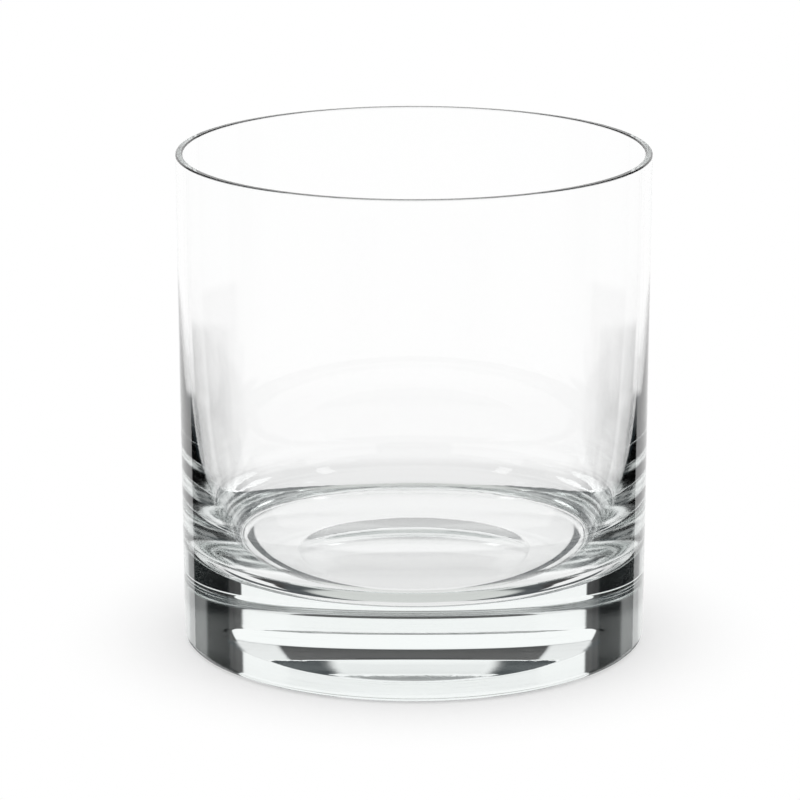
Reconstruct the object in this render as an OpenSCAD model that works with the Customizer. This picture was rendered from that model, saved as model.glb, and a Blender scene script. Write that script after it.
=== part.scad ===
// A straight-sided whiskey tumbler: one piece of clear glass with a thin wall and a heavy base.
// Z is up, the glass stands on z = 0 and the axis of the glass is the Z axis. Sizes are in mm.

/* [Outside] */
// Height from the table to the top of the lip
height = 90; // [70:0.5:110]
// Outer diameter at the lip
rim_d = 85.4; // [70:0.2:105]
// Outer diameter at the foot of the wall
base_d = 84.2; // [68:0.2:104]
// Radius of the rounded outer edge at the foot
heel_r = 1.4; // [0.6:0.1:4]

/* [Wall] */
// Thickness of the wall at the lip
lip_wall = 1.3; // [0.9:0.1:1.8]
// Radius of the two rounded edges of the lip
lip_edge = 0.3; // [0.15:0.05:0.6]
// Height at which the wall starts to thicken towards its foot
bend_z = 68; // [50:1:80]
// How long the wall keeps its direction into the soft corner, as a share of the way down
wall_pull = 0.87; // [0.6:0.01:0.98]

/* [Base] */
// Height of the inner floor's lowest point above the table
floor_z = 15.2; // [8:0.1:22]
// Radius at which the dished floor passes into the soft corner
floor_r = 30; // [20:0.5:36]
// Steepness of the dished floor at that radius, in degrees
floor_slope = 0.7; // [0.1:0.1:8]
// How long the floor keeps its direction into the soft corner, as a share of the way across
floor_pull = 0.65; // [0.3:0.01:0.95]
// Diameter of the hollow in the underside
punt_d = 45.8; // [24:0.2:64]
// Depth of the hollow in the underside
punt_h = 1.7; // [0.6:0.1:5]

/* [Hidden] */
$fn = 180;

// Number of straight steps along each round stretch of the outline, and along the soft corner
arc_steps = 24;
corner_steps = 48;

rim_r = rim_d / 2;
base_r = base_d / 2;
punt_r = punt_d / 2;

// Points on a circle round c from one angle to another.
function arc(c, r, from, to) =
    [for (i = [0:arc_steps]) let (a = from + (to - from) * i / arc_steps) c + r * [cos(a), sin(a)]];

// Radius of the circle that leaves a tangent line and has moved aside by rise after run.
function arc_radius(run, rise) = (run * run + rise * rise) / (2 * rise);

// Points on the smooth curve from p0 to p3 that sets out towards p1 and arrives from p2.
function curve(p0, p1, p2, p3) =
    [for (i = [0:corner_steps]) let (t = i / corner_steps, u = 1 - t)
        u * u * u * p0 + 3 * u * u * t * p1 + 3 * u * t * t * p2 + t * t * t * p3];

function angle_of(v) = atan2(v.y, v.x);

// Hollow in the underside: part of a sphere that meets the flat ring on which the glass stands.
punt_sphere_r = arc_radius(punt_r, punt_h);
punt_centre = [0, punt_h - punt_sphere_r];
punt_edge_a = 90 - asin(punt_r / punt_sphere_r);

// Outer wall: the straight line that touches the heel's circle and the circle of the lip's outer edge.
heel_centre = [base_r - heel_r, heel_r];
lip_centre = [rim_r - lip_edge, height - lip_edge];
wall_span = lip_centre - heel_centre;
wall_a = angle_of(wall_span) - 90 + asin((heel_r - lip_edge) / norm(wall_span));
wall_out = [cos(wall_a), sin(wall_a)];
wall_up = [-wall_out.y, wall_out.x];

// The point at height z on the line along the wall through p.
function along_wall(p, z) = p + wall_up * (z - p.y) / wall_up.y;

// Inner wall: parallel to the outside from the lip's inner edge down to bend_z.
inner_lip_centre = lip_centre - [(lip_wall - 2 * lip_edge) / wall_out.x, 0];
bend_start = along_wall(inner_lip_centre - lip_edge * wall_out, bend_z);

// Inner floor: part of a sphere that is lowest on the axis and ends at floor_r.
floor_sphere_r = floor_r / sin(floor_slope);
floor_centre = [0, floor_z + floor_sphere_r];
floor_edge = floor_centre + floor_sphere_r * [sin(floor_slope), -cos(floor_slope)];

// The soft corner leaves the wall and the floor in their own directions.
corner_drop = wall_pull * (bend_z - floor_edge.y);
corner_reach = floor_pull * (bend_start.x - floor_r);
wall_aim = bend_start - corner_drop * wall_up / wall_up.y;
floor_aim = floor_edge + corner_reach * [cos(floor_slope), sin(floor_slope)];

// Half of the glass in section, from the axis under the base round to the axis on the floor.
glass_outline = concat(
    arc(punt_centre, punt_sphere_r, 90, punt_edge_a),
    arc(heel_centre, heel_r, -90, wall_a),
    arc(lip_centre, lip_edge, wall_a, 90),
    arc(inner_lip_centre, lip_edge, 90, wall_a + 180),
    curve(bend_start, wall_aim, floor_aim, floor_edge),
    arc(floor_centre, floor_sphere_r, floor_slope - 90, -90)
);

// The whole glass: base, wall and lip are one piece.
module tumbler() {
    color([0.86, 0.93, 0.93, 0.4])
        rotate_extrude() polygon(glass_outline);
}

tumbler();
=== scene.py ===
"""Looks for a whiskey tumbler: one lathe-turned piece of clear glass on a pale studio table.

Everything is in metres. The glass stands on z = 0 and its axis is the Z axis.
"""
import math

import bpy
import numpy as np
from mathutils import Euler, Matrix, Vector


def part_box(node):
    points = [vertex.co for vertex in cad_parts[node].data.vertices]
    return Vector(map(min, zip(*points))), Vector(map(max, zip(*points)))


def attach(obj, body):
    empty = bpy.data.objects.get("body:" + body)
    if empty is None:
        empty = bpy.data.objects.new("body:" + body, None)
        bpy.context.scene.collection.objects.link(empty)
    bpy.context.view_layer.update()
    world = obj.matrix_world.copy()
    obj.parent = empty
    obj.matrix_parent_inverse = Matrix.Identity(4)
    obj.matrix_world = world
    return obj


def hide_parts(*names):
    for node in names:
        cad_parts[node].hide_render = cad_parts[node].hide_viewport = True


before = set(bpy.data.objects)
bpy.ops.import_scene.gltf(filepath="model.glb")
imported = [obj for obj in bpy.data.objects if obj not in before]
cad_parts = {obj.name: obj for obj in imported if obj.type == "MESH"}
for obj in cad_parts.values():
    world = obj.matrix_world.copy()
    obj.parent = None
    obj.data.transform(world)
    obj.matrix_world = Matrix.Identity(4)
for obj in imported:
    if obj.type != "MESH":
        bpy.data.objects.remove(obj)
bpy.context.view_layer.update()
lowest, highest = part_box("tumbler")

# ---- Sizes, the same as the construction's ----------------------------------------------------
MM = 0.001
HEIGHT = round(highest.z - lowest.z, 4)
RIM_R = 42.7 * MM
BASE_R = 42.1 * MM
HEEL_R = 1.4 * MM
LIP_WALL = 1.3 * MM
LIP_EDGE = 0.3 * MM
BEND_Z = 68 * MM
WALL_PULL = 0.87
FLOOR_Z = 15.2 * MM
FLOOR_R = 30 * MM
FLOOR_SLOPE = math.radians(0.7)
FLOOR_PULL = 0.65
PUNT_R = 22.9 * MM
PUNT_H = 1.7 * MM

# ---- Finish of the glass ----------------------------------------------------------------------
INDEX = 1.52
CAST = (0.70, 0.84, 0.80)     # colour that a thick stretch of the glass takes on
CAST_DENSITY = 3.0
CORNER_WAVES = 0.004 * MM     # depth of the turning waves in the soft corner
RING_WAVES = 0.008 * MM       # depth of the waves in the ground ring
STIPPLE = 0.006 * MM          # depth of the fine grain at the hollow's edge
CORNER_NOISE = (900, 2)       # scale and detail of each noise
RING_NOISE = (700, 3)
STIPPLE_NOISE = (900, 1)
RING_ROUGHNESS = 0.08
WAVES_TOP = 40 * MM           # the turning waves fade out round this height
DRAWN_OUT = 0.12              # how far the waves are stretched round the axis, less is longer

TURNS = 320                   # faces round the glass
GUARD = 0.04 * MM             # first step along a straight stretch, which keeps smooth shading off it


# ---- Outline of the glass ---------------------------------------------------------------------
def arc(centre, radius, start, end, steps):
    """Points centre + radius * (cos a, sin a), with a going evenly from start to end."""
    a = np.linspace(start, end, steps + 1)
    return np.stack([centre[0] + radius * np.cos(a), centre[1] + radius * np.sin(a)], 1)


def straight(p, q, steps):
    """Points p + t * (q - p), with t even from 0 to 1 apart from a very short first and last step."""
    p, q = np.array(p), np.array(q)
    edge = GUARD / np.linalg.norm(q - p)
    t = np.concatenate([[edge], np.linspace(0, 1, steps + 1)[1:-1], [1 - edge]])
    return p + t[:, None] * (q - p)


def arc_radius(run, rise):
    """Radius of the circle that leaves its tangent and has moved aside by rise after run."""
    return (run * run + rise * rise) / (2 * rise)


def angle_of(v):
    return math.atan2(v[1], v[0])


def curve(p0, p1, p2, p3, steps):
    """Points u^3 p0 + 3 u^2 t p1 + 3 u t^2 p2 + t^3 p3, with t even from 0 to 1 and u = 1 - t."""
    t = np.linspace(0, 1, steps + 1)[:, None]
    u = 1 - t
    return u ** 3 * p0 + 3 * u * u * t * p1 + 3 * u * t * t * p2 + t ** 3 * p3


def glass_outline():
    """Half section as (radius, height) points, from the axis under the base to the axis on the floor.

    The hollow under the base and the inner floor are parts of spheres. The outer wall is the line
    that touches the heel's circle and the circle of the lip's outer edge. The inner wall runs beside
    it at the lip's thickness down to BEND_Z, and a smooth curve joins it to the floor.
    """
    heel = np.array([BASE_R - HEEL_R, HEEL_R])
    lip = np.array([RIM_R - LIP_EDGE, HEIGHT - LIP_EDGE])
    span = lip - heel
    wall_a = angle_of(span) - math.pi / 2 + math.asin((HEEL_R - LIP_EDGE) / np.linalg.norm(span))
    wall_out = np.array([math.cos(wall_a), math.sin(wall_a)])
    wall_up = np.array([-wall_out[1], wall_out[0]])

    punt_sphere = arc_radius(PUNT_R, PUNT_H)
    punt_edge = math.pi / 2 - math.asin(PUNT_R / punt_sphere)
    inner_lip = lip - np.array([(LIP_WALL - 2 * LIP_EDGE) / wall_out[0], 0])
    inner_top = inner_lip - LIP_EDGE * wall_out
    bend = inner_top + wall_up * (BEND_Z - inner_top[1]) / wall_up[1]
    floor_sphere = FLOOR_R / math.sin(FLOOR_SLOPE)
    floor_c = np.array([0, FLOOR_Z + floor_sphere])
    floor_way = np.array([math.cos(FLOOR_SLOPE), math.sin(FLOOR_SLOPE)])
    floor_edge = floor_c + floor_sphere * np.array([floor_way[1], -floor_way[0]])
    wall_aim = bend - WALL_PULL * (BEND_Z - floor_edge[1]) * wall_up / wall_up[1]
    floor_aim = floor_edge + FLOOR_PULL * (bend[0] - FLOOR_R) * floor_way

    return np.concatenate([
        arc((0, PUNT_H - punt_sphere), punt_sphere, math.pi / 2, punt_edge, 40),
        straight((PUNT_R, 0), (heel[0], 0), 14),
        arc(heel, HEEL_R, -math.pi / 2, wall_a, 16),
        straight(heel + HEEL_R * wall_out, lip + LIP_EDGE * wall_out, 30),
        arc(lip, LIP_EDGE, wall_a, math.pi / 2, 12),
        straight((lip[0], HEIGHT), (inner_lip[0], HEIGHT), 2),
        arc(inner_lip, LIP_EDGE, math.pi / 2, wall_a + math.pi, 12),
        straight(inner_top, bend, 16),
        curve(bend, wall_aim, floor_aim, floor_edge, 96),
        arc(floor_c, floor_sphere, FLOOR_SLOPE - math.pi / 2, -math.pi / 2, 40)[1:],
    ])


def turned_piece(name, outline, turns):
    """Surface of revolution: point (r, z) of the outline goes to (r cos a, r sin a, z) for each a.

    The outline starts and ends on the axis, where one point closes each end with triangles.
    """
    a = np.arange(turns) * 2 * math.pi / turns
    ring = outline[1:-1]
    points = np.empty((len(ring), turns, 3))
    points[..., 0] = ring[:, :1] * np.cos(a)
    points[..., 1] = ring[:, :1] * np.sin(a)
    points[..., 2] = ring[:, 1:]
    poles = np.array([[0, 0, outline[0, 1]], [0, 0, outline[-1, 1]]])
    here = np.arange(turns)
    after = (here + 1) % turns
    row = np.arange(len(ring) - 1)[:, None] * turns
    quads = np.stack([row + here, row + after, row + turns + after, row + turns + here], -1)
    first_pole = len(ring) * turns
    last_row = (len(ring) - 1) * turns
    bottom = np.stack([np.full(turns, first_pole), after, here], -1)
    top = np.stack([np.full(turns, first_pole + 1), last_row + here, last_row + after], -1)
    faces = quads.reshape(-1, 4).tolist() + bottom.tolist() + top.tolist()
    mesh = bpy.data.meshes.new(name)
    mesh.from_pydata(np.concatenate([points.reshape(-1, 3), poles]).tolist(), [], faces)
    mesh.polygons.foreach_set("use_smooth", np.ones(len(faces), bool))
    mesh.update()
    piece = bpy.data.objects.new(name, mesh)
    bpy.context.scene.collection.objects.link(piece)
    return piece


# ---- Node helpers -----------------------------------------------------------------------------
def link(tree, source, target):
    tree.links.new(source, target)


def calc(tree, operation, a, b=None):
    """A Math node's result. a and b are sockets or plain numbers."""
    node = tree.nodes.new("ShaderNodeMath")
    node.operation = operation
    for socket, value in zip(node.inputs, (a, b)):
        if isinstance(value, bpy.types.NodeSocket):
            link(tree, value, socket)
        elif value is not None:
            socket.default_value = value
    return node.outputs[0]


def ramp(tree, value, start, end, low=0.0, high=1.0):
    """Goes smoothly from low to high while value goes from start to end."""
    node = tree.nodes.new("ShaderNodeMapRange")
    node.interpolation_type = "SMOOTHSTEP"
    link(tree, value, node.inputs["Value"])
    node.inputs["From Min"].default_value = start
    node.inputs["From Max"].default_value = end
    node.inputs["To Min"].default_value = low
    node.inputs["To Max"].default_value = high
    return node.outputs["Result"]


def between(tree, value, low, high, soft):
    """1 where value lies from low to high, with edges that are soft wide."""
    rising = ramp(tree, value, low - soft / 2, low + soft / 2)
    falling = ramp(tree, value, high - soft / 2, high + soft / 2, 1, 0)
    return calc(tree, "MULTIPLY", rising, falling)


def mix(tree, factor, a, b):
    """Colour a where factor is 0 and b where it is 1. a and b are sockets or plain colours."""
    node = tree.nodes.new("ShaderNodeMix")
    node.data_type = "RGBA"
    link(tree, factor, node.inputs["Factor"])
    for socket, value in ((node.inputs[6], a), (node.inputs[7], b)):
        if isinstance(value, bpy.types.NodeSocket):
            link(tree, value, socket)
        else:
            socket.default_value = (*value, 1)
    return node.outputs[2]


# ---- Clear glass ------------------------------------------------------------------------------
def noise(tree, place, scale, detail):
    """Even cloudy noise from 0 to 1 at the given place."""
    node = tree.nodes.new("ShaderNodeTexNoise")
    link(tree, place, node.inputs["Vector"])
    node.inputs["Scale"].default_value = scale
    node.inputs["Detail"].default_value = detail
    return node.outputs["Fac"]


def bump(tree, height, depth, normal=None):
    """Normal of the surface raised by height times depth, in metres."""
    node = tree.nodes.new("ShaderNodeBump")
    node.inputs["Distance"].default_value = depth
    link(tree, height, node.inputs["Height"])
    if normal is not None:
        link(tree, normal, node.inputs["Normal"])
    return node.outputs["Normal"]


def turned_place(tree):
    """Radius, height and a place that is drawn out round the axis, all from Object coordinates."""
    place = tree.nodes.new("ShaderNodeTexCoord").outputs["Object"]
    parts = tree.nodes.new("ShaderNodeSeparateXYZ")
    link(tree, place, parts.inputs[0])
    across = calc(tree, "MULTIPLY", parts.outputs["X"], parts.outputs["X"])
    along = calc(tree, "MULTIPLY", parts.outputs["Y"], parts.outputs["Y"])
    radius = calc(tree, "SQRT", calc(tree, "ADD", across, along))
    drawn = tree.nodes.new("ShaderNodeCombineXYZ")
    link(tree, calc(tree, "MULTIPLY", parts.outputs["X"], DRAWN_OUT), drawn.inputs["X"])
    link(tree, calc(tree, "MULTIPLY", parts.outputs["Y"], DRAWN_OUT), drawn.inputs["Y"])
    link(tree, calc(tree, "SUBTRACT", radius, parts.outputs["Z"]), drawn.inputs["Z"])
    return place, radius, parts.outputs["Z"], drawn.outputs[0]


def ring_mask(tree, radius, height):
    """1 on the flat ring on which the glass stands."""
    at_foot = ramp(tree, height, 0.05 * MM, 0.15 * MM, 1, 0)
    return calc(tree, "MULTIPLY", at_foot, ramp(tree, radius, PUNT_R - 1 * MM, PUNT_R + 1 * MM))


def corner_mask(tree, radius, height):
    """1 in the soft corner between the floor and the inner wall."""
    low = between(tree, height, FLOOR_Z - 1 * MM, WAVES_TOP, 6 * MM)
    outside_floor = between(tree, radius, FLOOR_R, BASE_R - 0.7 * MM, 1 * MM)
    return calc(tree, "MULTIPLY", low, outside_floor)


def hollow_edge_mask(tree, radius, height):
    """1 in the outer part of the hollow in the underside."""
    shallow = ramp(tree, height, 0.4 * MM, 0.9 * MM, 1, 0)
    near_edge = between(tree, radius, PUNT_R - 5 * MM, PUNT_R + 1 * MM, 1 * MM)
    return calc(tree, "MULTIPLY", shallow, near_edge)


def clear_glass():
    """Clear glass with a faint grey-green cast, turning waves low inside and a ground foot ring."""
    material = bpy.data.materials.new("clear_glass")
    material.use_nodes = True
    tree = material.node_tree
    shader = tree.nodes["Principled BSDF"]
    shader.inputs["Base Color"].default_value = (1, 1, 1, 1)
    shader.inputs["IOR"].default_value = INDEX
    shader.inputs["Transmission Weight"].default_value = 1.0

    place, radius, height, drawn = turned_place(tree)
    on_ring = ring_mask(tree, radius, height)
    in_corner = corner_mask(tree, radius, height)
    at_edge = hollow_edge_mask(tree, radius, height)
    link(tree, calc(tree, "MULTIPLY", on_ring, RING_ROUGHNESS), shader.inputs["Roughness"])

    waves = calc(tree, "MULTIPLY", noise(tree, drawn, *CORNER_NOISE), in_corner)
    ring_waves = calc(tree, "MULTIPLY", noise(tree, drawn, *RING_NOISE), on_ring)
    stipple = calc(tree, "MULTIPLY", noise(tree, place, *STIPPLE_NOISE), at_edge)
    normal = bump(tree, waves, CORNER_WAVES)
    normal = bump(tree, ring_waves, RING_WAVES, normal)
    normal = bump(tree, stipple, STIPPLE, normal)
    link(tree, normal, shader.inputs["Normal"])

    absorb = tree.nodes.new("ShaderNodeVolumeAbsorption")
    absorb.inputs["Color"].default_value = (*CAST, 1)
    absorb.inputs["Density"].default_value = CAST_DENSITY
    link(tree, absorb.outputs[0], tree.nodes["Material Output"].inputs["Volume"])
    return material


# ---- Studio -----------------------------------------------------------------------------------
WHITE = (1.0, 1.0, 1.0)
CEILING = (0.6, 0.6, 0.6)
DARK_ROOM = (0.03, 0.04, 0.045)
FLOOR_BELOW = (0.63, 0.65, 0.63)

# Cards of the studio, the same on the left as on the right, each laid over the ones before it:
# brightness, turn away from straight ahead, height above the horizon and softness, in degrees.
# A card whose turn starts below 0 goes right across the middle.
CARDS = [
    (1.00, (-1, 37.5), (-19.5, 20), 1.0),       # lit backdrop behind the glass
    (0.85, (24, 38), (20, 38), 3.0),            # its two corners, which reach higher
    (0.97, (-9, 14), (-62, -18), 3.0),          # lit table in front of the backdrop
    (0.86, (-9, 14), (-62, -31), 6.0),          # nearer part of that table, less bright
    (0.05, (-1, 24), (20.5, 35), 1.0),          # dark gap between the backdrop and the soft box
    (0.006, (37.5, 56), (-50, 22), 1.0),        # dark cards beside the backdrop
    (0.003, (56, 73), (-50, 10), 1.0),          # darker hollow beyond each of them
    (0.25, (56, 73), (12, 24), 3.0),            # grey over the hollow
    (0.60, (75, 92), (-22, 22), 3.0),           # pale wall beyond the hollow
    (0.97, (37.5, 80), (-15, -9.5), 0.8),       # long light strip along both sides of the room
    (0.97, (94, 190), (-42, 12), 2.0),          # bright room behind the camera
    (0.93, (112, 158), (11, 21), 1.0),          # pale wall over it
    (0.95, (30, 54), (-46, -19.5), 2.0),        # pale table seen over the foot of each dark card
    (0.92, (80, 96), (-34, 10), 3.0),           # pale sides of the room
    (0.50, (-9, 20), (50, 80), 5.0),            # overhead soft box
]


def in_glass(tree):
    """1 for what shows in the glass, by reflection or refraction."""
    rays = tree.nodes.new("ShaderNodeLightPath")
    return calc(tree, "MAXIMUM", rays.outputs["Is Transmission Ray"], rays.outputs["Is Glossy Ray"])


def studio_colour(tree):
    """Grey level of the studio by direction."""
    direction = tree.nodes.new("ShaderNodeTexCoord").outputs["Generated"]
    parts = tree.nodes.new("ShaderNodeSeparateXYZ")
    link(tree, direction, parts.inputs[0])
    right = calc(tree, "ARCTAN2", parts.outputs["X"], parts.outputs["Y"])
    turn = calc(tree, "MULTIPLY", calc(tree, "ABSOLUTE", right), 180 / math.pi)
    height = calc(tree, "MULTIPLY", calc(tree, "ARCSINE", parts.outputs["Z"]), 180 / math.pi)
    colour = mix(tree, ramp(tree, height, -62, -55), FLOOR_BELOW, DARK_ROOM)
    colour = mix(tree, ramp(tree, height, 36, 52), colour, CEILING)
    for level, turns, heights, soft in CARDS:
        across = between(tree, turn, *turns, soft)
        inside = calc(tree, "MULTIPLY", across, between(tree, height, *heights, soft))
        colour = mix(tree, inside, colour, (level, level, level))
    return colour


def studio_world():
    """Plain white to the camera and on surfaces, and the studio's cards in the glass."""
    world = bpy.data.worlds.new("studio")
    bpy.context.scene.world = world
    world.use_nodes = True
    tree = world.node_tree
    colour = mix(tree, in_glass(tree), WHITE, studio_colour(tree))
    link(tree, colour, tree.nodes["Background"].inputs["Color"])


TABLE_HALF = 3.0
TABLE_Z = -0.0002             # a hair under the glass
TABLE_TONE = 0.97
TABLE_FADE = (0.035, 0.068)   # distances from the axis between which the table turns white
TABLE_WHITE = 0.35            # share of plain white in the table inside that


def table_top():
    """A pale table that keeps the glass's shadow near the foot and turns plain white further out."""
    mesh = bpy.data.meshes.new("table_top")
    ends = ((-1, -1), (1, -1), (1, 1), (-1, 1))
    corners = [(TABLE_HALF * x, TABLE_HALF * y, TABLE_Z) for x, y in ends]
    mesh.from_pydata(corners, [], [(0, 1, 2, 3)])
    floor = bpy.data.objects.new("table_top", mesh)
    bpy.context.scene.collection.objects.link(floor)
    material = bpy.data.materials.new("table_top")
    mesh.materials.append(material)
    material.use_nodes = True
    tree = material.node_tree
    tree.nodes.remove(tree.nodes["Principled BSDF"])
    place = tree.nodes.new("ShaderNodeTexCoord").outputs["Object"]
    reach = tree.nodes.new("ShaderNodeVectorMath")
    reach.operation = "LENGTH"
    link(tree, place, reach.inputs[0])
    far = ramp(tree, reach.outputs["Value"], *TABLE_FADE, TABLE_WHITE, 1)
    matte = tree.nodes.new("ShaderNodeBsdfDiffuse")
    matte.inputs["Color"].default_value = (TABLE_TONE, TABLE_TONE, TABLE_TONE, 1)
    glow = tree.nodes.new("ShaderNodeEmission")
    clear = tree.nodes.new("ShaderNodeBsdfTransparent")
    fade = tree.nodes.new("ShaderNodeMixShader")
    link(tree, far, fade.inputs[0])
    link(tree, matte.outputs[0], fade.inputs[1])
    link(tree, glow.outputs[0], fade.inputs[2])
    seen = tree.nodes.new("ShaderNodeMixShader")
    link(tree, in_glass(tree), seen.inputs[0])
    link(tree, fade.outputs[0], seen.inputs[1])
    link(tree, clear.outputs[0], seen.inputs[2])
    link(tree, seen.outputs[0], tree.nodes["Material Output"].inputs["Surface"])


LAMPS = [("left_lamp", (-0.95, -0.5, 0.8)), ("right_lamp", (0.95, -0.5, 0.8))]
LAMP_SIZE = (0.2, 0.3)
LAMP_WATTS = 0.5


def soft_lamp(name, place):
    """An area lamp at place that faces the middle of the glass."""
    light = bpy.data.lights.new(name, "AREA")
    light.shape = "RECTANGLE"
    light.size, light.size_y = LAMP_SIZE
    light.energy = LAMP_WATTS
    lamp = bpy.data.objects.new(name, light)
    bpy.context.scene.collection.objects.link(lamp)
    lamp.location = place
    aim = Vector((0, 0, HEIGHT / 2)) - lamp.location
    lamp.rotation_euler = aim.to_track_quat("-Z", "Y").to_euler()


LENS = 197.4
SENSOR = 36
SHIFT = -0.0175
DISTANCE = 0.7966                # from the camera to the middle of the glass
RISE = math.radians(14.58)       # how high the camera stands over the middle of the glass
TILT = math.radians(14.66)       # how far down it looks


def camera():
    """A long lens that looks slightly down on the glass."""
    data = bpy.data.cameras.new("camera")
    data.sensor_width = SENSOR
    data.lens = LENS
    data.shift_x = SHIFT
    data.clip_start = 0.05
    data.clip_end = 20
    obj = bpy.data.objects.new("camera", data)
    bpy.context.scene.collection.objects.link(obj)
    obj.location = (0, -DISTANCE * math.cos(RISE), HEIGHT / 2 + DISTANCE * math.sin(RISE))
    obj.rotation_euler = Euler((math.pi / 2 - TILT, 0, 0))
    bpy.context.scene.camera = obj


# ---- Build ------------------------------------------------------------------------------------
camera()
tumbler = turned_piece("tumbler_glass", glass_outline(), TURNS)
tumbler.data.materials.append(clear_glass())
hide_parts("tumbler")
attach(tumbler, "root")

studio_world()
table_top()
for name, place in LAMPS:
    soft_lamp(name, place)

scene = bpy.context.scene
scene.view_settings.view_transform = "Standard"
scene.cycles.max_bounces = 14
scene.cycles.transmission_bounces = 14
scene.cycles.glossy_bounces = 12
scene.cycles.transparent_max_bounces = 16
